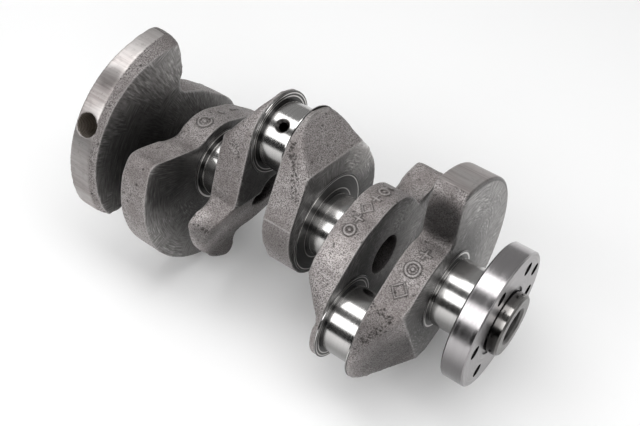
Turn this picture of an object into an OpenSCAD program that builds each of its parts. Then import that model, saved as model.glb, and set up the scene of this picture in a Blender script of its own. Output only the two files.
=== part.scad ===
// One-piece crankshaft for a three-cylinder in-line engine, millimetres, +Z up.
// The main bearing axis is the X axis. The origin is the centre of the flange's outer face
// and +X points out of the engine from the flange.

/* [Crank] */
// Piston stroke: twice the throw of each crankpin
stroke = 90; // [86:0.5:94]
// Distance between cylinder centres along the crank
bore_spacing = 85; // [84:0.25:88]
// Angle of the middle crankpin above level, seen from the flange
middle_pin_angle = 78; // [0:1:359]

/* [Journals] */
// Diameter of the four main journals
main_d = 42.5; // [40:0.5:44]
// Diameter of the three crankpins
pin_d = 43; // [40:0.5:44]
// Length of every crankpin and main journal between its two webs
journal_len = 22; // [20:0.5:24]
// Length of the last main journal, between web and flange
rear_journal_len = 22.5; // [20:0.5:26]
// Diameter of the ground collar at each end of a main journal
main_collar_d = 51; // [48:0.5:54]
// Diameter of the ground collar at each end of a crankpin
pin_collar_d = 54; // [50:0.5:56]
// Diameter of the thrust collars on the third main journal
thrust_collar_d = 67; // [60:0.5:70]
// Height of each collar above its web
collar_h = 0.8; // [0.5:0.1:1.2]
// Width of the rolled groove beside each collar
groove_w = 1.6; // [1:0.1:2.4]
// Depth of the rolled groove below the journal surface
groove_depth = 0.5; // [0.2:0.1:0.8]

/* [Counterweights] */
// Turned radius of the two end counterweights
end_weight_r = 71; // [69:0.5:74]
// Radius of the counterweights beside the outer crankpins
inner_weight_r = 70; // [68:0.5:72]
// Radius of the small counterweight in front of the middle crankpin
small_weight_r = 56.5; // [54:0.5:59]
// Radius of the small counterweight behind the middle crankpin
shoulder_weight_r = 52.5; // [51:0.5:54]
// Rounding of the large counterweights' outer corners
weight_corner_r = 7; // [5:0.5:9]
// Rounding of the front counterweight's two outer corners
front_corner_r = 12; // [8:0.5:14]
// Radial size of the chamfer on the rear counterweight's turned rim
rim_chamfer = 1.8; // [0.8:0.2:2.4]

/* [Flange] */
// Outside diameter of the flywheel flange
flange_d = 85.5; // [82:0.5:90]
// Thickness of the flywheel flange
flange_t = 14; // [11:0.5:16]
// Diameter of the register hub that centres the flywheel
hub_d = 38.5; // [36:0.5:42]
// Length of the register hub
hub_len = 7; // [5:0.5:9]
// Diameter of the bore in the hub
pilot_d = 21; // [17:0.5:24]
// Depth of the bore in the hub
pilot_depth = 24; // [18:1:30]
// Pitch circle diameter of the flywheel bolts
bolt_pcd = 65; // [62:0.5:68]
// Diameter of each flywheel bolt hole
bolt_hole_d = 8.5; // [7:0.5:10]
// Diameter of the flywheel dowel hole
dowel_hole_d = 8; // [6:0.5:9]
// Distance of the dowel hole from the axis
dowel_r = 36; // [34:0.5:37]

/* [Nose] */
// Diameter of the front nose that carries the timing gear and pulley
nose_d = 28; // [24:0.5:32]
// Length of the front nose
nose_len = 22; // [18:0.5:22]
// Width of the nose keyway
key_w = 5; // [4:0.5:6]
// Diameter of the pulley bolt hole in the end of the nose
nose_bolt_d = 10.5; // [8:0.5:12]
// Depth of the pulley bolt hole
nose_bolt_depth = 32; // [24:1:38]

/* [Drillings] */
// Diameter of the lightening cores through the two middle main journals
core_d = 25; // [20:0.5:26]
// Diameter of the oil outlet in each crankpin
oil_d = 5.5; // [4:0.5:6]
// Diameter of the countersink round each oil outlet
oil_sink_d = 9; // [7:0.5:10]
// Diameter of the balancing drilling in the front counterweight
balance_d = 15; // [10:0.5:15]
// Depth of the balancing drilling
balance_depth = 22; // [12:1:26]

/* [Hidden] */
$fn = 128;
eps = 0.01;
// How far roundings run over the outlines they blend, so that the two cross cleanly
lap = 0.02;
throw_r = stroke / 2;
web_t = bore_spacing / 2 - journal_len;
main_r = main_d / 2;
pin_r = pin_d / 2;

cast_grey = [0.50, 0.48, 0.47];
cast_light = [0.56, 0.54, 0.53];
ground_steel = [0.78, 0.79, 0.81];
turned_steel = [0.70, 0.70, 0.71];

// Where each zone starts along X, counted from the flange towards the nose
rear_web_x = -flange_t - rear_journal_len - web_t;
function web_x(n) = rear_web_x - (6 - n) * bore_spacing / 2;
function pin_x(n) = web_x(2 * n) - journal_len;
function main_x(n) = web_x(2 * n - 1) - journal_len;
nose_x = main_x(1) - nose_len;

// Angle of each crankpin; the three throws are 120 degrees apart
function pin_angle(n) = middle_pin_angle + (n - 2) * 120;
// Webs 1 and 2 carry pin 1, webs 3 and 4 pin 2, webs 5 and 6 pin 3
function web_pin(n) = ceil(n / 2);
bolt_angle = pin_angle(3) + 30;

// ---------- outlines, drawn with the crankpin on the +X side of the sketch ----------

function unit(v) = v / norm(v);
// Turning a direction a quarter turn to its left
function left_of(d) = [-d.y, d.x];

// Two discs and the band tangent to both, its corners sunk into the discs by inset
module tangent_pair(p, rp, q, rq, inset = 0) {
  a = atan2(q.y - p.y, q.x - p.x);
  b = acos((rp - rq) / norm(q - p));
  translate(p)
    circle(rp);
  translate(q)
    circle(rq);
  polygon([
    p + (rp - inset) * [cos(a + b), sin(a + b)],
    p + (rp - inset) * [cos(a - b), sin(a - b)],
    q + (rq - inset) * [cos(a - b), sin(a - b)],
    q + (rq - inset) * [cos(a + b), sin(a + b)]
  ]);
}

// Centre of a rounding of radius r inside the rim circle R and inside the flank from p along d;
// n points from the flank into the weight
function corner_centre(p, d, n, R, r) =
  let (a = p + r * n, m = a * d)
  a + d * (sqrt(m * m - a * a + (R - r) * (R - r)) - m);

// Centre of a neck rounding of radius r outside the disc (c, rc) and outside the flank
function neck_centre(p, d, n, c, rc, r) =
  let (a = p - r * n - c, m = a * d)
  c + a + d * (sqrt(m * m - a * a + (rc + r) * (rc + r)) - m);

// Waste between a flank, the rim circle and the corner rounding
module corner_waste(p, d, n, R, r) {
  c = corner_centre(p, d, n, R, r);
  flank_point = c - r * n;
  rim_point = c * R / (R - r);
  difference() {
    polygon([flank_point, flank_point - n, flank_point - n + 3 * r * d, rim_point * 1.2, rim_point]);
    translate(c)
      circle(r + lap);
  }
}

// Filling between a disc, a flank and the neck rounding
module neck_fill(p, d, n, c, rc, r) {
  o = neck_centre(p, d, n, c, rc, r);
  disc_point = c + (o - c) * rc / (rc + r);
  flank_point = o + r * n;
  points = [c + (disc_point - c) * 0.85, disc_point, o, flank_point, flank_point + 4 * n];
  difference() {
    polygon(n == left_of(d) ? points : [for (i = [4 : -1 : 0]) points[i]]);
    translate(o)
      circle(r + lap);
  }
}

// A counterweight's outline: rim radius R, one flank through a1 and b1, the other through
// a2 and b2 (given counter-clockwise), corner rounding r, and neck roundings of radius
// n1 and n2 against the cheek discs [centre, radius] h1 and h2
module weight_outline(R, a1, b1, a2, b2, r, h1, n1, h2, n2) {
  d1 = unit(b1 - a1);
  d2 = unit(b2 - a2);
  in1 = left_of(d1);
  in2 = -left_of(d2);
  difference() {
    intersection() {
      circle(R);
      polygon([
        [0, 0], a1, a1 + 2 * R * d1,
        2 * R * unit(unit(b1) + unit(b2)) * 1.6,
        a2 + 2 * R * d2, a2
      ]);
    }
    corner_waste(a1, d1, in1, R, r);
    corner_waste(a2, d2, in2, R, r);
  }
  neck_fill(a1, d1, in1, h1[0], h1[1], n1);
  neck_fill(a2, d2, in2, h2[0], h2[1], n2);
}

// Cheek outlines: a disc round the main journal blended into a disc round the crankpin
module slim_cheek(hub_r) {
  circle(hub_r);
  tangent_pair([16, 0], 35, [throw_r - 7, 0], 34.3);
  tangent_pair([0, 0], hub_r, [16, 0], 35);
}

module narrow_cheek() {
  circle(36.5);
  tangent_pair([6, 0], 36.5, [throw_r + 0.7, 1], 27.9, lap);
}

module shoulder_cheek() {
  circle(36);
  tangent_pair([8, 0], 39.5, [throw_r - 2, 1], 27.5);
}

module broad_cheek(hub_r, end_r) {
  circle(hub_r);
  tangent_pair([11, 0], 40.5, [throw_r - 12, 0], end_r);
}

module cheek_outline(n) {
  if (n == 1) slim_cheek(32);
  if (n == 2) slim_cheek(30.5);
  if (n == 3) narrow_cheek();
  if (n == 4) shoulder_cheek();
  if (n == 5) broad_cheek(38.3, 35.5);
  if (n == 6)
    difference() {
      broad_cheek(33, 37);
      pin_shoulder();
    }
  // A boss backs the crankpin's collar where the cheek ends short of it
  if (n >= 4)
    translate([throw_r, 0])
      circle(pin_collar_d / 2 + 0.2);
}

// Waste beside the last crankpin, where the web's lower flank steps in to the pin's collar
module pin_shoulder() {
  difference() {
    polygon([
      [throw_r - 9, 36.2], [throw_r + 5, 27.4], [throw_r + 22, 12],
      [throw_r + 40, 40], [throw_r - 9, 60]
    ]);
    translate([throw_r, 0])
      circle(pin_collar_d / 2 + 0.6);
  }
}

// The fourth web's counterweight runs straight into the side of its crankpin end
module shoulder_weight() {
  p = [-35, -2];
  d = unit([-15, -10]);
  difference() {
    intersection() {
      tangent_pair([0, 0], shoulder_weight_r, [throw_r - 2, 1], 27.5);
      polygon([[0, 0], p, p + 150 * d, [20, -250], [150, -150], [throw_r - 2, 0]]);
    }
    corner_waste(p, d, left_of(d), shoulder_weight_r, 8);
  }
  neck_fill(p, d, left_of(d), [0, 0], 36, 4);
}

module weight_shape(n) {
  if (n == 1)
    weight_outline(end_weight_r, [-9, 31], [-30, 62], [-9, -31], [-30, -62],
      front_corner_r, [[0, 0], 32], 5, [[0, 0], 32], 5);
  if (n == 2)
    weight_outline(inner_weight_r, [-35, 7], [-65, -4.5], [22, -34], [25, -64],
      weight_corner_r, [[0, 0], 30.5], 16, [[16, 0], 35], 5);
  if (n == 3)
    weight_outline(small_weight_r, [6, 36], [-1, 52], [-36, 8], [-52, 13],
      6, [[6, 0], 36.5], 4, [[0, 0], 36.5], 4);
  if (n == 4) shoulder_weight();
  if (n == 5)
    weight_outline(inner_weight_r, [28, 36], [26, 64], [-38, 0], [-65, 6],
      weight_corner_r, [[11, 0], 40.5], 5, [[0, 0], 38.3], 4);
  if (n == 6)
    weight_outline(end_weight_r, [-9, 31.5], [-25, 63], [-9, -31.5], [-25, -63],
      weight_corner_r, [[11, 0], 40.5], 4, [[11, 0], 40.5], 4);
}

// How far each web reaches into its counterweight: discs as [distance along the throw, radius],
// wide enough to take in the neck roundings
function neck_discs(n) = [
  [[0, 38]],
  [[0, 38], [16, 41]],
  [[0, 41.5], [6, 41]],
  [[4, 44]],
  [[0, 43], [11, 45]],
  [[11, 46.5]]
][n - 1];

module neck_zone(n) {
  for (disc = neck_discs(n))
    translate([disc[0], 0])
      circle(disc[1]);
  // The fourth web also keeps the thin end of its counterweight, beside the crankpin
  if (n == 4)
    translate([30, -80])
      square([60, 80]);
}

// ---------- placing ----------

// Stands a sketch up across the crank at x, its +X side turned to the angle a
module across(x, a) {
  translate([x, 0, 0])
    rotate([90, 0, 90])
      rotate([0, 0, a])
        children();
}

// Puts a web or counterweight in place: drawn with its crankpin face at z = 0 and its
// main journal face at z = web_t; the odd webs have their main journal in front
module in_web(n) {
  a = pin_angle(web_pin(n));
  if (n % 2 == 0)
    across(web_x(n), a)
      children();
  else
    translate([web_x(n) + web_t, 0, 0])
      mirror([1, 0, 0])
        across(0, a)
          children();
}

// ---------- cuts shared by a web and its counterweight ----------

// A wedge drawn in side view (x along the throw, y through the web)
module side_wedge(points) {
  rotate([90, 0, 0])
    linear_extrude(height = 200, center = true)
      polygon(points);
}

// Bevel on the crankpin end, sloping down to the main journal face from an end left thick
module pin_end_bevel(foot, tip, thick = 2) {
  side_wedge([[foot, web_t + eps], [tip, thick], [tip + 40, thick], [tip + 40, web_t + eps]]);
}

// Relief on the crankpin face below the middle crankpin
module pin_face_relief() {
  side_wedge([[6, -eps], [-27, 13.5], [-40, web_t - 2.2], [-90, web_t - 2.2], [-90, -eps]]);
}

module core_bore() {
  translate([0, 0, -eps])
    cylinder(d = core_d, h = web_t + 2 * eps);
}

module web_cuts(n) {
  if (n <= 2) pin_end_bevel(45, throw_r + 26.5);
  if (n == 3) pin_end_bevel(46, throw_r + 27.5);
  if (n == 4) pin_end_bevel(47, throw_r + 24, 3);
  if (n == 5) pin_end_bevel(41, throw_r + 14, 4);
  if (n == 6) pin_end_bevel(37, throw_r + 25);
  if (n == 3) pin_face_relief();
  if (n > 1 && n < 6) core_bore();
}

module web(n) {
  color(cast_grey)
    in_web(n)
      difference() {
        linear_extrude(height = web_t)
          union() {
            cheek_outline(n);
            intersection() {
              weight_shape(n);
              neck_zone(n);
            }
          }
        web_cuts(n);
      }
}

// The turned rim of the front counterweight stops short of the crankpin face: the cast skin
// falls away from it there
module front_rim() {
  rim_offset = 2.5 * [cos(-153), sin(-153)];
  intersection_for (cone = [true, false]) {
    if (cone)
      translate([rim_offset.x, rim_offset.y, 0])
        cylinder(r1 = end_weight_r - 4.8, r2 = end_weight_r - 4.8 + 0.45 * web_t, h = web_t);
    else
      cylinder(r = end_weight_r, h = web_t);
  }
}

// The turned rim of the rear counterweight is chamfered on the main journal side
module rear_rim() {
  h = rim_chamfer / 2;
  cylinder(r = end_weight_r, h = web_t - h);
  translate([0, 0, web_t - h])
    cylinder(r1 = end_weight_r, r2 = end_weight_r - rim_chamfer, h = h);
}

// Radial drilling in the front counterweight's rim, opposite the first crankpin
module balance_drilling() {
  rotate([0, 0, 183.5])
    translate([end_weight_r + 1, 0, 12.2])
      rotate([0, -90, 0])
        cylinder(d = balance_d, h = balance_depth + 1);
}

module counterweight(n) {
  color(cast_light)
    in_web(n)
      difference() {
        if (n == 1)
          intersection() {
            weight_slab(n);
            front_rim();
          }
        else if (n == 6)
          intersection() {
            weight_slab(n);
            rear_rim();
          }
        else
          weight_slab(n);
        web_cuts(n);
        if (n == 1) balance_drilling();
      }
}

module weight_slab(n) {
  linear_extrude(height = web_t)
    difference() {
      weight_shape(n);
      cheek_outline(n);
      neck_zone(n);
    }
}

// ---------- journals ----------

// Half profile of a journal lying along +Y from 0 to len: a collar of radius c0 and c1 at
// each end (none where it is 0) and a rolled groove beside each
function journal_profile(r, len, c0, c1) =
  let (
    h0 = c0 > 0 ? collar_h : 0,
    h1 = c1 > 0 ? collar_h : 0,
    g = groove_w,
    k = r - groove_depth
  )
  concat(
    [[0, 0]],
    c0 > 0 ? [[c0, 0], [c0, h0 - 0.2], [c0 - 0.2, h0]] : [],
    [[k, h0], [k, h0 + g - 0.4], [r, h0 + g], [r, len - h1 - g], [k, len - h1 - g + 0.4], [k, len - h1]],
    c1 > 0 ? [[c1 - 0.2, len - h1], [c1, len - h1 + 0.2], [c1, len]] : [],
    [[0, len]]
  );

// A journal along +X from x, its axis at the given place across the crank
module journal(x, at, profile) {
  translate([x, at.x, at.y])
    rotate([90, 0, 90])
      rotate_extrude()
        polygon(profile);
}

module main_journal(n) {
  thrust = n == 3 ? thrust_collar_d / 2 : main_collar_d / 2;
  front = n == 1 ? 0 : thrust;
  len = n == 4 ? rear_journal_len : journal_len;
  x = n == 4 ? -flange_t - rear_journal_len : main_x(n);
  color(ground_steel)
    difference() {
      journal(x, [0, 0], journal_profile(main_r, len, front, n == 4 ? 0 : thrust));
      if (n == 2 || n == 3)
        across(x - eps, 0)
          cylinder(d = core_d, h = len + 2 * eps);
      if (n == 1) nose_bolt_bore();
      if (n == 4) pilot_bore();
    }
}

module crankpin(n) {
  a = pin_angle(n);
  color(ground_steel)
    difference() {
      journal(pin_x(n), throw_r * [cos(a), sin(a)],
        journal_profile(pin_r, journal_len, pin_collar_d / 2, pin_collar_d / 2));
      translate([pin_x(n) + journal_len / 2, throw_r * cos(a), throw_r * sin(a)])
        rotate([a + 40 - 90, 0, 0])
          oil_outlet();
    }
}

// Oil outlet drilled down from the pin's surface, which is at z = pin_r
module oil_outlet() {
  cylinder(d = oil_d, h = pin_r + 1);
  translate([0, 0, pin_r - 1.6])
    cylinder(d1 = oil_d, d2 = oil_sink_d + 1.4, h = 2.3);
}

// ---------- flange, hub and nose ----------

module pilot_bore() {
  across(hub_len - pilot_depth, 0)
    cylinder(d = pilot_d, h = pilot_depth + eps);
}

module rear_flange() {
  r = flange_d / 2;
  c = 0.8;
  color(turned_steel)
    difference() {
      journal(-flange_t, [0, 0],
        [[0, 0], [r - c, 0], [r, c], [r, flange_t - c], [r - c, flange_t],
         [hub_d / 2 + 2.5, flange_t], [hub_d / 2 + 2.5, flange_t - 1],
         [hub_d / 2, flange_t - 1], [hub_d / 2, flange_t], [0, flange_t]]);
      for (i = [0 : 5])
        across(-flange_t - eps, bolt_angle + 60 * i)
          translate([bolt_pcd / 2, 0, 0])
            cylinder(d = bolt_hole_d, h = flange_t + 2 * eps);
      across(-10, pin_angle(3) + 180)
        translate([dowel_r, 0, 0])
          cylinder(d = dowel_hole_d, h = 10 + eps);
      pilot_bore();
    }
}

module pilot_hub() {
  r = hub_d / 2;
  c = 1.2;
  color(turned_steel)
    difference() {
      journal(0, [0, 0], [[0, 0], [r, 0], [r, hub_len - c], [r - c, hub_len], [0, hub_len]]);
      pilot_bore();
      across(hub_len - 1.5, 0)
        cylinder(d1 = pilot_d, d2 = pilot_d + 3, h = 1.5 + eps);
    }
}

module nose_bolt_bore() {
  across(nose_x - eps, 0)
    cylinder(d = nose_bolt_d, h = nose_bolt_depth);
}

module front_nose() {
  r = nose_d / 2;
  c = 1.5;
  color(turned_steel)
    difference() {
      journal(nose_x, [0, 0],
        [[0, 0], [r - c, 0], [r, c], [r, nose_len - 2], [r - 0.5, nose_len - 2], [r - 0.5, nose_len], [0, nose_len]]);
      nose_bolt_bore();
      across(nose_x - eps, middle_pin_angle)
        translate([r - 3, -key_w / 2, 0])
          cube([4, key_w, 16]);
    }
}

front_nose();
main_journal(1);  // main_journal_1
main_journal(2);  // main_journal_2
main_journal(3);  // main_journal_3
main_journal(4);  // main_journal_4
crankpin(1);  // crankpin_1
crankpin(2);  // crankpin_2
crankpin(3);  // crankpin_3
web(1);  // web_1
web(2);  // web_2
web(3);  // web_3
web(4);  // web_4
web(5);  // web_5
web(6);  // web_6
counterweight(1);  // counterweight_1
counterweight(2);  // counterweight_2
counterweight(3);  // counterweight_3
counterweight(4);  // counterweight_4
counterweight(5);  // counterweight_5
counterweight(6);  // counterweight_6
rear_flange();
pilot_hub();
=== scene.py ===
import math
import random
import bmesh
import bpy
import numpy as np
from mathutils import Matrix, Vector, kdtree


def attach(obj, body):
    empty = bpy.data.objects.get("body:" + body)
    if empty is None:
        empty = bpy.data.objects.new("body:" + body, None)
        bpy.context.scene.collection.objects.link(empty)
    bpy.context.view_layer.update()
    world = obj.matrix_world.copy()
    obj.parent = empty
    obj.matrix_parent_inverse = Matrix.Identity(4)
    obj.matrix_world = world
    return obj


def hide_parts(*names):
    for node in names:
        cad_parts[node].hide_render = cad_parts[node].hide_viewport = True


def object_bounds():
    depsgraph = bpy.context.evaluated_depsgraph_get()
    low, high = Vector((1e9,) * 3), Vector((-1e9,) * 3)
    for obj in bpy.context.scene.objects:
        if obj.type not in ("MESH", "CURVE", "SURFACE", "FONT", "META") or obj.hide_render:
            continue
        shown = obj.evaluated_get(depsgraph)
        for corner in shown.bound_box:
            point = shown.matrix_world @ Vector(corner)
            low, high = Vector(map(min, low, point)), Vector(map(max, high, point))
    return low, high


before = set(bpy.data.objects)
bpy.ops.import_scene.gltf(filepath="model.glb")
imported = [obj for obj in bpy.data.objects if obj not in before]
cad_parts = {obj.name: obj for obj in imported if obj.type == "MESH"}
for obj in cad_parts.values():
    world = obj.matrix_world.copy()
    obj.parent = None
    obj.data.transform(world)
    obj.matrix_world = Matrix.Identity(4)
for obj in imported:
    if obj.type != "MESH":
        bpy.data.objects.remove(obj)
cad_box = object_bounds()
scene = bpy.context.scene
MM = 0.001

# ---------- the crank's own layout, in millimetres and degrees ----------

WEB_T = 20.5  # thickness of a web
WEB_PITCH = 42.5
LAST_WEB_X = -57  # the front face of web 6
THROW = 45.0
MIDDLE_PIN_ANGLE = 78
THROW_STEP = 120
PIN_R = 21.5
LAST_PIN_X = -68  # the middle of crankpin 3
OUTLET_ANGLE = 40  # of a crankpin's oil outlet, past the throw
TURNED_RIM = 71.0  # radius of the turned rims of webs 1 and 6
CAST_STRIP_END = 11  # web 6's rim is turned only past this height of y
CHAMFER_R = 70.0  # the chamfer on web 6's rim
DRILLING_X = -261.2  # the balancing drilling in web 1's counterweight
DRILLING_ANGLE = 141.5
DRILLING_R = 7.5
CAST_WEBS = range(1, 7)
FULL_VOXEL = 0.00055  # metres


def by_angle(x, angle, r):
    """A place in mm, from its angle round the bearing axis from +Y towards +Z."""
    a = math.radians(angle)
    return (x, r * math.cos(a), r * math.sin(a))


def pin_angle(n):
    return MIDDLE_PIN_ANGLE + (n - 2) * THROW_STEP


def pin_x(n):
    return LAST_PIN_X - (3 - n) * 2 * WEB_PITCH


def pin_axis(n):
    return by_angle(pin_x(n), pin_angle(n), THROW)[1:]


def pin_of(web):
    return (web + 1) // 2


def web_x(n):
    return LAST_WEB_X - (6 - n) * WEB_PITCH


# ---------- node helpers ----------

class Nodes:
    """Short calls for building a material's nodes."""

    def __init__(self, name):
        self.mat = bpy.data.materials.new(name)
        self.mat.use_nodes = True
        self.tree = self.mat.node_tree
        self.tree.nodes.clear()
        self.shader = self.new("ShaderNodeBsdfPrincipled")
        out = self.new("ShaderNodeOutputMaterial")
        self.link(self.shader.outputs["BSDF"], out.inputs["Surface"])
        self.place = self.new("ShaderNodeTexCoord").outputs["Object"]

    def new(self, kind, **props):
        node = self.tree.nodes.new(kind)
        for key, value in props.items():
            setattr(node, key, value)
        return node

    def link(self, a, b):
        self.tree.links.new(a, b)

    def put(self, value, socket):
        if isinstance(value, bpy.types.NodeSocket):
            self.link(value, socket)
        else:
            socket.default_value = value

    def math(self, op, a, b=0.0):
        node = self.new("ShaderNodeMath", operation=op)
        self.put(a, node.inputs[0])
        self.put(b, node.inputs[1])
        return node.outputs[0]

    def scaled(self, size):
        node = self.new("ShaderNodeMapping")
        self.link(self.place, node.inputs["Vector"])
        node.inputs["Scale"].default_value = size
        return node.outputs[0]

    def noise(self, scale, detail=3.0, rough=0.5, vector=None):
        node = self.new("ShaderNodeTexNoise")
        self.link(vector or self.place, node.inputs["Vector"])
        node.inputs["Scale"].default_value = scale
        node.inputs["Detail"].default_value = detail
        node.inputs["Roughness"].default_value = rough
        return node.outputs["Fac"]

    def ramp(self, value, low, high, out_low=0.0, out_high=1.0):
        node = self.new("ShaderNodeMapRange", interpolation_type="SMOOTHSTEP")
        for key, v in (("Value", value), ("From Min", low), ("From Max", high),
                       ("To Min", out_low), ("To Max", out_high)):
            self.put(v, node.inputs[key])
        return node.outputs[0]

    def mix(self, factor, a, b):
        node = self.new("ShaderNodeMix", data_type="RGBA")
        self.put(factor, node.inputs[0])
        for v, i in ((a, 6), (b, 7)):
            self.put((*v, 1) if isinstance(v, tuple) and len(v) == 3 else v, node.inputs[i])
        return node.outputs[2]

    def attribute(self, name):
        return self.new("ShaderNodeAttribute", attribute_name=name).outputs["Fac"]

    def bump(self, height, distance, strength=1.0, before=None):
        node = self.new("ShaderNodeBump")
        node.inputs["Strength"].default_value = strength
        node.inputs["Distance"].default_value = distance
        self.link(height, node.inputs["Height"])
        if before:
            self.link(before, node.inputs["Normal"])
        return node.outputs["Normal"]

    def split(self, vector):
        node = self.new("ShaderNodeSeparateXYZ")
        self.link(vector, node.inputs[0])
        return node.outputs

    def from_axis(self, centre):
        """Y, Z and distance from an axis along X through centre (y, z), in metres."""
        place = self.split(self.place)
        y = self.math("SUBTRACT", place["Y"], centre[0])
        z = self.math("SUBTRACT", place["Z"], centre[1])
        squares = self.math("ADD", self.math("MULTIPLY", y, y), self.math("MULTIPLY", z, z))
        return y, z, self.math("SQRT", squares)

    def radius(self, centre):
        return self.from_axis(centre)[2]

    def strokes(self, centre, across, turn):
        """Noise in polar form round an axis along X: across cells per metre outwards, turn cells per radian."""
        y, z, r = self.from_axis(centre)
        polar = self.new("ShaderNodeCombineXYZ")
        self.link(self.math("MULTIPLY", r, across), polar.inputs["X"])
        self.link(self.math("MULTIPLY", self.math("ARCTAN2", z, y), turn), polar.inputs["Y"])
        return self.noise(1.0, 2.0, 0.6, polar.outputs[0])

    def scale_colour(self, colour, factor):
        node = self.new("ShaderNodeMix", data_type="RGBA", blend_type="MULTIPLY")
        node.inputs[0].default_value = 1.0
        self.link(colour, node.inputs[6])
        self.link(factor, node.inputs[7])
        return node.outputs[2]

    def occlusion_shade(self, colour, reach, depth):
        """Painted shade: darkens colour in hollows narrower than reach, by depth at most."""
        ao = self.new("ShaderNodeAmbientOcclusion", samples=6)
        ao.inputs["Distance"].default_value = reach
        return self.scale_colour(colour, self.ramp(ao.outputs["AO"], 0.15, 0.85, 1 - depth, 1.0))

    def choose(self, factor, a, b):
        node = self.new("ShaderNodeMix", data_type="FLOAT")
        self.put(factor, node.inputs[0])
        self.put(a, node.inputs[2])
        self.put(b, node.inputs[3])
        return node.outputs[0]


# ---------- materials ----------

def cast_iron(name, swirl_centre, drilling=None):
    """Shot-blasted cast skin, milled side faces and turned rims, told apart by the mesh's attributes.
    A drilling is the direction of its axis: rings run down its wall."""
    m = Nodes(name)
    face = m.attribute("face")
    rim = m.attribute("rim")
    pit = m.attribute("pit")
    edge = m.attribute("edge")
    grain = m.noise(1500, 2, 0.55)
    mottle = m.noise(210, 3, 0.6)
    cloud = m.noise(30, 3, 0.6)
    speck = m.ramp(m.noise(520, 2, 0.5), 0.64, 0.72)

    skin = m.mix(m.ramp(grain, 0.36, 0.58), (0.125, 0.112, 0.108), (0.46, 0.431, 0.425))
    skin = m.mix(m.ramp(mottle, 0.4, 0.7, 0.0, 0.45), skin, (0.22, 0.198, 0.192))
    skin = m.mix(m.ramp(cloud, 0.38, 0.68, 0.0, 0.55), skin, (0.17, 0.148, 0.143))
    skin = m.mix(m.math("MULTIPLY", speck, 0.5), skin, (0.05, 0.042, 0.038))
    # lighter along cast edges, raised marks and the flash line: partly wear, partly painted highlight
    skin = m.mix(m.math("MULTIPLY", edge, 0.4), skin, (0.50, 0.475, 0.468))

    arcs = m.strokes(swirl_centre, 900, 7)
    chatter = m.strokes(swirl_centre, 130, 62)
    where = m.ramp(m.noise(42, 2), 0.44, 0.56)
    line = m.choose(where, arcs, chatter)
    bright = m.math("MULTIPLY", m.ramp(line, 0.53, 0.68), m.ramp(m.noise(60, 2), 0.38, 0.58))
    milled = m.mix(m.ramp(line, 0.3, 0.6), (0.16, 0.153, 0.15), (0.33, 0.32, 0.313))
    milled = m.mix(m.math("MULTIPLY", bright, 0.75), milled, (0.60, 0.585, 0.57))
    milled = m.mix(m.ramp(mottle, 0.45, 0.75, 0.0, 0.45), milled, (0.15, 0.143, 0.138))

    lines = m.noise(1.0, 3, 0.6, m.scaled((40, 700, 700)))
    sheen = m.ramp(m.noise(1.0, 2, 0.5, m.scaled((25, 55, 55))), 0.38, 0.62)
    turned_skin = m.mix(m.ramp(lines, 0.3, 0.7), (0.32, 0.288, 0.28), (0.46, 0.425, 0.415))
    turned_skin = m.mix(m.math("MULTIPLY", sheen, 0.6), turned_skin, (0.50, 0.485, 0.475))
    turned_skin = m.mix(m.ramp(mottle, 0.5, 0.75, 0.0, 0.4), turned_skin, (0.24, 0.22, 0.21))
    turned_skin = m.mix(m.math("MULTIPLY", speck, 0.3), turned_skin, (0.07, 0.062, 0.056))

    colour = m.mix(face, skin, milled)
    colour = m.mix(rim, colour, turned_skin)
    # the outlines of the foundry marks are painted near black as shade
    colour = m.mix(m.math("MULTIPLY", m.attribute("groove"), 0.9), colour, (0.05, 0.043, 0.038))
    # the pits are painted near black as shade in their hollows
    colour = m.mix(m.math("MULTIPLY", pit, 0.85), colour, (0.03, 0.026, 0.023))
    # painted shade from ambient occlusion in hollows and beside nearby surfaces
    # the tone attribute scales the colour: painted light and shade, partly darker scale
    colour = m.occlusion_shade(m.scale_colour(colour, m.attribute("tone_and_painted_light")), 0.055, 0.8)
    rough = m.choose(face, m.ramp(grain, 0.3, 0.7, 0.56, 0.42), m.ramp(bright, 0.0, 1.0, 0.42, 0.3))
    rough = m.choose(rim, rough, m.ramp(sheen, 0.0, 1.0, 0.46, 0.34))
    bare = m.math("SUBTRACT", 1.0, m.math("MAXIMUM", face, rim))
    normal = m.bump(m.math("MULTIPLY", grain, bare), 0.0006, 1.0)
    normal = m.bump(m.math("MULTIPLY", line, face), 0.00022, 0.8, normal)
    normal = m.bump(m.math("MULTIPLY", lines, rim), 0.00005, 0.7, normal)
    if drilling:
        bore = m.attribute("bore")
        along = m.new("ShaderNodeVectorMath", operation="DOT_PRODUCT")
        m.link(m.place, along.inputs[0])
        along.inputs[1].default_value = drilling
        turns = m.math("MULTIPLY", along.outputs["Value"], 2 * math.pi / 0.0013)
        ring = m.math("ADD", m.math("MULTIPLY", m.math("SINE", turns), 0.5), 0.5)
        wall = m.mix(ring, (0.07, 0.057, 0.046), (0.42, 0.37, 0.32))
        colour = m.mix(bore, colour, wall)
        rough = m.choose(bore, rough, 0.3)
        normal = m.bump(m.math("MULTIPLY", ring, bore), 0.0002, 0.8, normal)
    m.link(colour, m.shader.inputs["Base Color"])
    m.link(rough, m.shader.inputs["Roughness"])
    m.shader.inputs["Metallic"].default_value = 0.7
    m.link(normal, m.shader.inputs["Normal"])
    return m.mat


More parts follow.
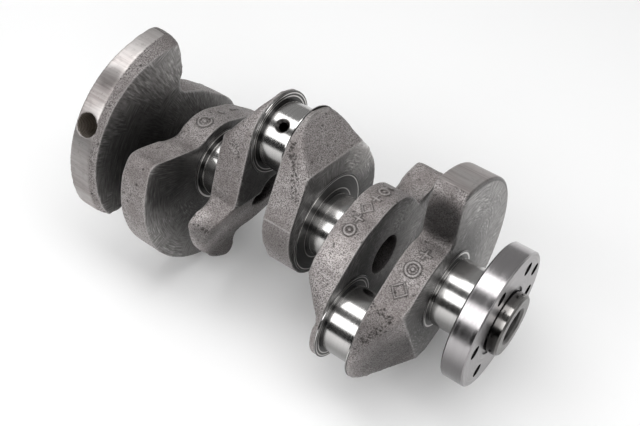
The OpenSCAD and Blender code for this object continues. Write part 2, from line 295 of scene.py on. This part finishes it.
def steel(name, base, dark, rough, line_depth, smudge=0.1, hole=None, underside_shade=0.0, flat_end_shade=1.0,
          underside_shade_span=(0.0, 0.45), groove_highlight_radii=(), sink=None, reach=0.012, mouth=None):
    """Ground or turned steel: fine lines run round the X axis, with faint smudges. Flat ends are
    rougher, and their colour is painted darker as shade. Undersides get painted shade, by the given
    depth at most, fading in from the upper given height of the normal down to the lower.
    Anything nearer than hole's radius to hole's axis (y, z, radius) is painted near black as shade,
    and painted lighter past x = mouth as light on the bore's wall. A bright line is painted round
    that axis as a highlight at each given groove radius. sink is the place of an oil outlet, whose
    countersink is rougher and painted darker as shade."""
    m = Nodes(name)
    lines = m.noise(1.0, 2, 0.7, m.scaled((5200, 25, 25)))
    wide = m.noise(1.0, 2, 0.5, m.scaled((700, 12, 12)))
    patch = m.noise(70, 3, 0.6)
    normal = m.split(m.new("ShaderNodeTexCoord").outputs["Normal"])
    end = m.ramp(m.math("ABSOLUTE", normal["X"]), 0.5, 0.8)
    colour = m.mix(m.ramp(lines, 0.35, 0.7, 0.0, 0.6), base, dark)
    colour = m.mix(m.ramp(patch, 0.5, 0.75, 0.0, smudge), colour, dark)
    # painted shade: undersides darker, fading in as the normal turns down
    colour = m.scale_colour(colour, m.ramp(normal["Z"], underside_shade_span[0], underside_shade_span[1], 1 - underside_shade, 1.0))
    turning = m.strokes(hole[:2] if hole else (0, 0), 1500, 1.5)
    # flat ends painted darker as shade, scaled by the flat ends' factor
    flat = m.mix(m.ramp(turning, 0.35, 0.7), tuple(0.75 * flat_end_shade * v for v in dark),
                 tuple(0.9 * flat_end_shade * v for v in base))
    # painted highlight: a bright line on the flat ends at each groove radius
    for groove in groove_highlight_radii:
        off = m.math("ABSOLUTE", m.math("SUBTRACT", m.radius(hole[:2]), groove))
        flat = m.mix(m.ramp(off, 0.00015, 0.0005, 0.9, 0.0), flat, (0.88, 0.86, 0.84))
    colour = m.mix(end, colour, flat)
    r = m.ramp(wide, 0.3, 0.7, rough * 0.85, rough * 1.2)
    r = m.math("ADD", r, m.ramp(patch, 0.5, 0.8, 0.0, rough * smudge * 3))
    r = m.choose(end, r, 0.34)
    height = m.math("MULTIPLY", lines, m.math("SUBTRACT", 1.0, end))
    if hole:
        inside = m.ramp(m.radius(hole[:2]), hole[2] - 0.0005, hole[2], 1.0, 0.0)
        # painted shade: inside the bore the colour is painted near black
        colour = m.mix(inside, colour, (0.045, 0.042, 0.04))
        # painted light on the bore's wall past its mouth
        if mouth is not None:
            lit = m.ramp(m.split(m.place)["X"], mouth - 0.005, mouth)
            colour = m.mix(m.math("MULTIPLY", inside, lit), colour, (0.13, 0.127, 0.125))
        r = m.choose(inside, r, 0.45)
    if sink:
        from_outlet = m.new("ShaderNodeVectorMath", operation="DISTANCE")
        m.link(m.place, from_outlet.inputs[0])
        from_outlet.inputs[1].default_value = sink
        cone = m.ramp(from_outlet.outputs["Value"], 0.0043, 0.0052, 1.0, 0.0)
        # painted shade: the countersink is painted darker
        colour = m.mix(cone, colour, (0.10, 0.095, 0.092))
        r = m.choose(cone, r, 0.3)
    # painted shade from ambient occlusion in hollows and beside nearby surfaces
    m.link(m.occlusion_shade(colour, reach, 0.7), m.shader.inputs["Base Color"])
    m.link(r, m.shader.inputs["Roughness"])
    m.shader.inputs["Metallic"].default_value = 1.0
    m.link(m.bump(height, line_depth, 0.5), m.shader.inputs["Normal"])
    return m.mat


def polished(name, hole, groove_highlight_radii, sink=None):
    return steel(name, (0.60, 0.59, 0.58), (0.48, 0.47, 0.46), 0.17, 0.000004, 0.15, hole, 0.6, 0.2,
                 groove_highlight_radii=groove_highlight_radii, sink=sink)


turned = steel("turned_flange", (0.46, 0.443, 0.448), (0.36, 0.345, 0.35), 0.21, 0.000006, 0.15,
               underside_shade=0.66)
hub_steel = steel("turned_hub", (0.36, 0.35, 0.34), (0.22, 0.21, 0.20), 0.13, 0.000008, 0.3,
                  hole=(0, 0, 0.0117), underside_shade=0.88, flat_end_shade=0.75, underside_shade_span=(0.5, 0.85), reach=0.004,
                  mouth=0.0045)


# ---------- web skins ----------

def mesh_object(name, mesh):
    o = bpy.data.objects.new(name, mesh)
    scene.collection.objects.link(o)
    return o


def node_mesh(node):
    """A welded copy of a CAD node's mesh."""
    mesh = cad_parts[node].data.copy()
    bm = bmesh.new()
    bm.from_mesh(mesh)
    bmesh.ops.remove_doubles(bm, verts=bm.verts, dist=2e-7)
    bm.to_mesh(mesh)
    bm.free()
    mesh.materials.clear()
    return mesh


def evaluated(o):
    deps = bpy.context.evaluated_depsgraph_get()
    return bpy.data.meshes.new_from_object(o.evaluated_get(deps))


def crease_points(mesh):
    """Points along the mesh's sharp edges: those of cast corners, and those that bound a milled face."""
    bm = bmesh.new()
    bm.from_mesh(mesh)
    cast, milled = [], []
    for e in bm.edges:
        if len(e.link_faces) != 2:
            continue
        a, b = (f.normal for f in e.link_faces)
        if a.angle(b, 0.0) < SHARP:
            continue
        flat = max(abs(a.x), abs(b.x)) > 0.99
        p, q = e.verts[0].co, e.verts[1].co
        steps = max(1, int((q - p).length / (0.7 * MM)))
        (milled if flat else cast).extend(p.lerp(q, i / steps) for i in range(steps + 1))
    bm.free()
    return cast, milled


def tree_of(points):
    tree = kdtree.KDTree(len(points))
    for i, p in enumerate(points):
        tree.insert(p, i)
    tree.balance()
    return tree


def fade(d, near, far):
    t = np.clip((far - d) / (far - near), 0, 1)
    return t * t * (3 - 2 * t)


def vertex_arrays(mesh):
    n = len(mesh.vertices)
    co = np.empty(n * 3)
    mesh.vertices.foreach_get("co", co)
    normal = np.empty(n * 3)
    mesh.vertex_normals.foreach_get("vector", normal)
    return co.reshape(-1, 3), normal.reshape(-1, 3)


def weight_group(o, name, weights):
    group = o.vertex_groups.new(name=name)
    level = np.round(weights * 16).astype(int)
    for k in range(1, 17):
        chosen = np.nonzero(level == k)[0].tolist()
        if chosen:
            group.add(chosen, k / 16, "REPLACE")


def add_modifier(o, kind, **props):
    mod = o.modifiers.new(kind.lower(), kind)
    for key, value in props.items():
        setattr(mod, key, value)
    return mod


def clouds(name, size, depth):
    tex = bpy.data.textures.new(name, "CLOUDS")
    tex.noise_scale = size
    tex.noise_depth = depth
    return tex


SHARP = math.radians(22)
grain_texture = clouds("cast_grain", 0.0014, 2)
lump_texture = clouds("cast_lumps", 0.009, 2)


def ring(a, b, r, w):
    return fade(np.abs(np.hypot(a, b) - r), w * 0.35, w * 1.05)


def bar(a, b, half_a, half_b):
    d = np.maximum(np.abs(a) - half_a, np.abs(b) - half_b)
    return fade(d, -0.1, 0.75)


def dot(a, b, r):
    return fade(np.hypot(a, b), r, r + 0.8)


def lozenge(a, b, r):
    return fade(np.abs(np.abs(a) + np.abs(b) - r), 0.4, 1.15)


def dash(a, b, r):
    return bar(a, b, r, 0.6)


def cross(a, b, r):
    return np.maximum(bar(a, b, 0.5, r), bar(a, b, r, 0.5))


def target(a, b, r):
    return ring(a, b, r, 1.35) + dot(a, b, 0.25 * r)


# Generic raised foundry marks: web, place (x, y, z) in mm, shape, size in mm.
# Web 5's stand in a row round its rim.
MARKS = [(5, by_angle(-90, 123 - 13 * i, 38.5), shape, size) for i, (shape, size) in enumerate((
    (target, 3.0), (cross, 3.0), (lozenge, 3.8), (cross, 3.0), (target, 3.0), (dot, 1.3)))]
MARKS += [
    (6, (-46, -13, 37), cross, 3.6), (6, (-47, -24, 35), target, 4.0), (6, (-47, -36, 29), lozenge, 4.8),
    (2, (-217, 0, 30), target, 4.2), (2, (-218, 16, 26), dot, 1.6), (2, (-218, 27, 21), dash, 1.9),
]

# Pitted seam lines left by the mould: web, points (x, y, z) in mm, half width
SEAMS = [
    (4, [(-139, -10, 63), (-135, -15, 57), (-131, -19, 51), (-128, -23, 44), (-125, -25, 40)], 1.2),
    (6, [(-56, -48, 23), (-50, -49, 22), (-43, -51, 21)], 1.1),
    (6, [(-43, -51, 21), (-46, -57, 17), (-51, -63, 9)], 1.0),
    (3, [(-178, -55, 8), (-173, -55, 7), (-166, -56, 7)], 1.0),
    (3, [(-177, -19, 52), (-173, -20, 49), (-171, -22, 45)], 0.9),
]

# A fine raised flash line along the crank: web, points in mm
FLASH = [(4, [by_angle(-142, 148, 41.5), by_angle(-123, 148, 41.5)])]

# Cast corners that the mould left especially round: web, centre and reach in mm
SOFT = [
    (1, (-252, 21, 62), 16), (1, (-262, -64, -25), 16),
    (2, (-217, -57, 38), 14), (2, (-217, -62, -30), 11),
    (3, (-175, -51, 10), 11), (3, (-175, -55, -6), 9),
    (4, (-135, 18, 64), 12), (4, (-124, 38, 38), 11),
    (5, (-90, 63, 12), 13), (5, (-95, -66, 0), 11),
    (6, (-50, 5, 65), 9), (6, (-46, -2, 38), 13),
]

# Where the casting swells or sinks: web, centre, reach, outward direction, height in mm
SWELL = [
    (1, (-267, 18, 65), 36, (0, 0.96, 0.18), 5.5),
    (1, (-248, 24, 58), 15, (0, 0.8, 0.6), -2.6),
]

# Painted light and shade, partly darker scale: places where the colour is scaled darker or lighter: web,
# surface, centre and reach in mm, tone
TONES_AND_PAINTED_LIGHT = [
    (1, "rim", (-256, -10, 69), 30, 1.15), (1, "rim", (-263, -66, 22), 34, 0.7),
    (1, "rim", (-262, -30, 64), 9, 0.5), (1, "rim", (-262, -49, 51), 10, 1.2),
    (1, "rim", (-266, -12, 70), 16, 1.28), (1, "skin", (-249, -34, 59), 60, 0.8),
    (1, "face", (-249, -29, 20), 34, 0.45), (1, "face", (-249, 2, 50), 14, 1.2),
    (2, "face", (-206, -46, 22), 24, 0.32), (2, "skin", (-220, -36, 34), 18, 1.35),
    (3, "skin", (-173, -54, 0), 12, 0.55), (3, "skin", (-180, -48, 11), 7, 1.5),
    (3, "skin", (-182, -30, -35), 22, 0.55), (3, "face", (-164, -20, 22), 28, 0.55),
    (4, "skin", (-129, -38, 5), 20, 0.75), (4, "face", (-122, -20, 36), 15, 0.5),
    (4, "face", (-122, 36, 26), 21, 2.15),
    (5, "skin", (-89, -34, 30), 12, 1.4), (5, "skin", (-89, 58, 14), 20, 1.3),
    (5, "skin", (-92, -62, 10), 14, 0.8), (5, "skin", (-90, 4, 38), 14, 1.3),
    (5, "face", (-80, 16, 2), 32, 4.6),
    (6, "skin", (-45, 1, 51), 18, 0.18), (6, "skin", (-49, -62, 10), 17, 0.6),
    (6, "skin", (-42, -44, -20), 26, 0.38),
]

MARK_LIFT = 1.0  # mm
FLASH_LIFT = 0.3
PIT_DEPTH = 0.3
PITS_PER_VERTEX = 0.0012
FIRST_SEED = 40


def distance(co, centre):
    """Each vertex's distance from a place in mm, in mm."""
    return np.linalg.norm(co / MM - centre, axis=1)


def polyline_distance(co, points):
    """Each vertex's distance from a polyline in mm, in mm."""
    best = np.full(len(co), 1e9)
    for p, q in zip(points, points[1:]):
        p, q = np.array(p) * MM, np.array(q) * MM
        t = np.clip((co - p) @ (q - p) / ((q - p) @ (q - p)), 0, 1)
        best = np.minimum(best, np.linalg.norm(co - p - t[:, None] * (q - p), axis=1))
    return best / MM


def of_web(n, table):
    return [row[1:] for row in table if row[0] == n]


def joined_skin(name, nodes, voxel):
    """One fine voxel skin over both nodes, and how far each vertex is from cast and milled creases, in mm."""
    whole, other = (mesh_object(node + "_copy", node_mesh(node)) for node in nodes)
    add_modifier(whole, "BOOLEAN", operation="UNION", solver="EXACT", object=other)
    joined = evaluated(whole)
    creases = crease_points(joined)
    whole.modifiers.clear()
    whole.data = joined
    add_modifier(whole, "REMESH", mode="VOXEL", voxel_size=voxel)
    skin = mesh_object(name, evaluated(whole))
    for o in (whole, other):
        bpy.data.objects.remove(o)
    co = vertex_arrays(skin.data)[0]
    to_cast, to_mill = (np.array([tree.find(p)[2] for p in co]) / MM for tree in map(tree_of, creases))
    return skin, to_cast, to_mill


def machined(n, co, normal, radius):
    """Which vertices lie on the milled side faces, and which on the turned rim."""
    x0 = web_x(n) * MM
    off_face = np.minimum(np.abs(co[:, 0] - x0), np.abs(co[:, 0] - x0 - WEB_T * MM))
    on_face = (off_face < 0.4 * MM) & (np.abs(normal[:, 0]) > 0.9)
    rim_depth = {1: 0.4, 6: 1.8}.get(n, -100)
    turned_rim = (radius > TURNED_RIM - rim_depth) & ~on_face
    if n == 6:
        turned_rim &= co[:, 1] > CAST_STRIP_END * MM
    return on_face, turned_rim


def drilled(n, co, radius):
    """How far each vertex belongs to the wall of the balancing drilling."""
    if n != 1:
        return np.zeros(len(co))
    spoke = np.array(by_angle(0, DRILLING_ANGLE, 1))
    from_axis = co - np.array((DRILLING_X * MM, 0, 0))
    off = np.linalg.norm(from_axis - (from_axis @ spoke)[:, None] * spoke, axis=1)
    outer = (radius < TURNED_RIM - 0.6) * (from_axis @ spoke > 30 * MM)
    return fade(off / MM, DRILLING_R, DRILLING_R + 0.4) * outer


def foundry_marks(n, co, normal):
    """How far each vertex is raised by the marks, from 0 to 1, and how dark their outlines are painted as
    shade.
    """
    lift, groove = np.zeros(len(co)), np.zeros(len(co))
    for centre, shape, size in of_web(n, MARKS):
        c = np.array(centre) * MM
        near = np.nonzero(np.linalg.norm(co - c, axis=1) < 9 * MM)[0]
        if not len(near):
            continue
        first = near[np.argmin(np.linalg.norm(co[near] - c, axis=1))]
        out = normal[near[np.linalg.norm(co[near] - co[first], axis=1) < 3 * MM]].mean(0)
        along = np.cross(out / np.linalg.norm(out), (1, 0, 0))
        a = (co[near] - c) @ along / MM
        b = (co[near] - c)[:, 0] / MM
        raised = np.clip(shape(a, b, size), 0, 1) * (normal[near] @ out > 0.4)
        lift[near] += raised
        groove[near] = np.maximum(groove[near], np.sqrt(4 * raised * (1 - raised)))
    return lift, groove


def casting_pits(n, co, cast):
    """Depth from 0 to 1 of the scattered pits and of those along the mould's seams."""
    pit = np.zeros(len(co))
    rng = random.Random(FIRST_SEED + n)
    cast_verts = np.nonzero(cast > 0.5)[0]
    tree = tree_of(co)
    for _ in range(int(len(cast_verts) * PITS_PER_VERTEX)):
        i = int(cast_verts[rng.randrange(len(cast_verts))])
        size = rng.uniform(0.5, 1.1) * MM
        for _, j, d in tree.find_range(co[i], size):
            pit[j] = max(pit[j], 1 - (d / size) ** 2)
    for points, half in of_web(n, SEAMS):
        d = polyline_distance(co, points)
        near = np.nonzero(d < half * 2.5)[0]
        for i in near[::5]:
            size = rng.uniform(0.35, 1.0) * half
            if rng.random() < 0.75 and d[i] < half * rng.uniform(0.3, 2.2):
                off = np.linalg.norm(co[near] - co[i], axis=1) / MM
                pit[near] = np.maximum(pit[near], fade(off, size * 0.4, size) * cast[near])
    return pit * cast


def tones_and_painted_light(n, co, radius, kinds):
    tone_and_painted_light = np.ones(len(co))
    for kind, centre, reach, factor in of_web(n, TONES_AND_PAINTED_LIGHT):
        # each listed place scales the colour: painted light and shade, partly darker scale
        tone_and_painted_light *= 1 + (factor - 1) * fade(distance(co, centre), reach * 0.45, reach * 1.25) * kinds[kind]
    # painted shade: web 6's rim chamfer is painted darker
    if n == 6:
        chamfer = fade(np.abs(radius - CHAMFER_R), 0.9, 1.6) * fade(-co[:, 0] / MM, 37.3, 38.3)
        tone_and_painted_light *= 1 - 0.6 * chamfer
    return tone_and_painted_light


def web_skin(n, voxel):
    """The cast skin of web n and its counterweight, with its edges, texture, marks and pits."""
    nodes = (f"web_{n}", f"counterweight_{n}")
    skin, to_cast, to_mill = joined_skin(f"cast_web_{n}", nodes, voxel)
    co, normal = vertex_arrays(skin.data)
    radius = np.hypot(co[:, 1], co[:, 2]) / MM
    on_face, turned_rim = machined(n, co, normal, radius)
    py, pz = pin_axis(pin_of(n))
    from_pin = np.hypot(co[:, 1] / MM - py, co[:, 2] / MM - pz)
    by_collar = np.maximum(fade(from_pin, 27.5, 30), fade(radius, 26, 28)) * on_face
    keep = fade(radius, 65, 67) if n in (1, 6) else 1.0
    bore = drilled(n, co, radius)
    cast = (1 - on_face) * (1 - turned_rim) * (1 - bore)

    soft = np.zeros(len(co))
    for centre, reach in of_web(n, SOFT):
        soft = np.maximum(soft, fade(distance(co, centre), reach * 0.55, reach))
    swollen = co.copy()
    for centre, reach, out, height in of_web(n, SWELL):
        swollen += fade(distance(co, centre), 0, reach)[:, None] * np.array(out) * height * MM
    skin.data.vertices.foreach_set("co", swollen.ravel())
    skin.data.update()

    weight_group(skin, "soft_corners", soft)
    weight_group(skin, "cast_edges", fade(to_cast, 3.5, 7) * (1 - by_collar) * keep)
    weight_group(skin, "mill_edges", fade(np.minimum(to_mill, to_cast), 1.3, 3.0) * (1 - 0.8 * by_collar))
    weight_group(skin, "cast_skin", cast * np.clip(to_mill / 1.2, 0.25, 1))
    finer = (FULL_VOXEL / voxel) ** 2
    for group, passes in (("soft_corners", 160), ("cast_edges", 200),
                          ("mill_edges", 12 if n in (1, 6) else 24)):
        add_modifier(skin, "SMOOTH", factor=0.5, iterations=max(2, round(passes * finer)), vertex_group=group)
    for texture, strength, level in ((lump_texture, 0.0007, 0.9), (grain_texture, 0.00032, 0.7)):
        add_modifier(skin, "DISPLACE", texture=texture, texture_coords="LOCAL", strength=strength,
                     mid_level=level, vertex_group="cast_skin")
    smooth = evaluated(skin)
    skin.modifiers.clear()
    skin.vertex_groups.clear()
    skin.data = smooth

    co, normal = vertex_arrays(smooth)
    mark, groove = foundry_marks(n, co, normal)
    flash = np.zeros(len(co))
    for points, in of_web(n, FLASH):
        flash = fade(polyline_distance(co, points), 0.3, 1.0)
    pit = casting_pits(n, co, cast)
    raised = mark * MARK_LIFT + flash * FLASH_LIFT
    co = np.clip(co + normal * ((raised - pit * PIT_DEPTH) * MM)[:, None], *np.array(cad_box))
    smooth.vertices.foreach_set("co", co.ravel())
    smooth.polygons.foreach_set("use_smooth", [True] * len(smooth.polygons))

    # wear and painted highlight on cast edges, raised marks and the flash line
    wear_and_highlight = np.clip(fade(to_mill, 0.3, 1.6) * cast + raised + 1.5 * flash, 0, 1.6)
    kinds = {"face": on_face, "rim": turned_rim, "skin": ~on_face & ~turned_rim}
    for key, values in (("face", on_face), ("rim", turned_rim), ("pit", pit), ("edge", wear_and_highlight), ("bore", bore),
                        ("groove", groove * (1 - on_face)), ("tone_and_painted_light", tones_and_painted_light(n, co, radius, kinds))):
        smooth.attributes.new(key, "FLOAT", "POINT").data.foreach_set("value", values.astype(float))
    smooth.update()

    swirl = pin_axis(pin_of(n)) if n in (1, 3) else (0.0, 0.0)
    smooth.materials.append(cast_iron(f"cast_iron_{n}", (swirl[0] * MM, swirl[1] * MM),
                                      by_angle(0, DRILLING_ANGLE, 1) if n == 1 else None))
    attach(skin, "root")
    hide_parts(*nodes)


for n in CAST_WEBS:
    web_skin(n, FULL_VOXEL)


# ---------- journals, flange and hub: CAD nodes with real finishes ----------

def finish_node(node, material):
    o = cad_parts[node]
    if not o.data.materials:
        o.data.materials.append(material)
    for slot in o.material_slots:
        slot.material = material


for n in range(1, 5):
    collar = 0.0335 if n == 3 else 0.0255  # radius: main 3 carries the thrust washers
    finish_node(f"main_journal_{n}", polished(f"polished_main_{n}", (0, 0, 0.0128),
                                              (0.0236, collar - 0.0014)))
for n in range(1, 4):
    y, z = pin_axis(n)
    x, out_y, out_z = by_angle(pin_x(n), pin_angle(n) + OUTLET_ANGLE, PIN_R)
    outlet = (x * MM, (y + out_y) * MM, (z + out_z) * MM)
    finish_node(f"crankpin_{n}", polished(f"polished_pin_{n}", (y * MM, z * MM, 0.0207),
                                          (0.0239, 0.0258), outlet))
finish_node("rear_flange", turned)
finish_node("front_nose", turned)
finish_node("pilot_hub", hub_steel)


# ---------- studio ----------

MIDDLE_X = -0.15  # of the crank, in metres
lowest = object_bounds()[0].z
bpy.ops.mesh.primitive_plane_add(size=8, location=(MIDDLE_X, 0, lowest - 0.0002))
floor = bpy.context.object
floor.name = "floor"
m = Nodes("pale_floor")
pale = m.mix(m.ramp(m.noise(3, 2), 0.3, 0.7), (0.96, 0.96, 0.96), (0.94, 0.94, 0.94))
m.link(pale, m.shader.inputs["Base Color"])
m.shader.inputs["Roughness"].default_value = 0.9
m.shader.inputs["Specular IOR Level"].default_value = 0.0
floor.data.materials.append(m.mat)

# The studio is dark behind the camera and light beyond the crank
world = bpy.data.worlds.new("studio")
scene.world = world
world.use_nodes = True
wt = world.node_tree
coord = wt.nodes.new("ShaderNodeTexCoord")
split = wt.nodes.new("ShaderNodeSeparateXYZ")
wt.links.new(coord.outputs["Generated"], split.inputs[0])
back = wt.nodes.new("ShaderNodeMapRange")
back.interpolation_type = "SMOOTHSTEP"
for key, level in (("From Min", -0.8), ("From Max", 0.4), ("To Min", 0.015), ("To Max", 0.32)):
    back.inputs[key].default_value = level
wt.links.new(split.outputs["Y"], back.inputs["Value"])
wt.links.new(back.outputs[0], wt.nodes["Background"].inputs["Strength"])
wt.nodes["Background"].inputs["Color"].default_value = (1, 1, 1, 1)


def softbox(name, direction, distance, size, power, target=(MIDDLE_X, 0, 0)):
    """A soft area light, its long side along X, shining at the target from a direction."""
    data = bpy.data.lights.new(name, "AREA")
    data.shape = "RECTANGLE"
    data.size, data.size_y = size
    data.energy = power
    o = bpy.data.objects.new(name, data)
    scene.collection.objects.link(o)
    d = Vector(direction).normalized()
    o.location = Vector(target) + d * distance
    x = Vector((1, 0, 0))
    y = d.cross(x).normalized()
    x = y.cross(d)
    o.matrix_world = Matrix.Translation(o.location) @ Matrix((x, y, d)).transposed().to_4x4()


softbox("overhead_box", by_angle(0, 87, 1), 1.6, (3.2, 0.78), 22.5)
softbox("front_box", by_angle(0, 139, 1), 1.6, (3.2, 0.82), 22.5)
softbox("end_fill", (1.0, 0.25, 0.35), 2.0, (1.4, 1.4), 3)

# ---------- camera, where the photograph's view of the journals, flange and webs puts it ----------

EYE = (0.08722, -0.28656, 0.40924)
LOOK = (-0.39624, 0.53071, -0.74922)
LENS_MM = 49.786

cam = bpy.data.cameras.new("camera")
cam.lens = LENS_MM
cam.sensor_width = 36
cam.clip_start = 0.01
eye = bpy.data.objects.new("camera", cam)
scene.collection.objects.link(eye)
eye.location = EYE
eye.rotation_mode = "QUATERNION"
eye.rotation_quaternion = Vector(LOOK).to_track_quat("-Z", "Y")
scene.camera = eye

scene.view_settings.view_transform = "Standard"
scene.view_settings.look = "None"
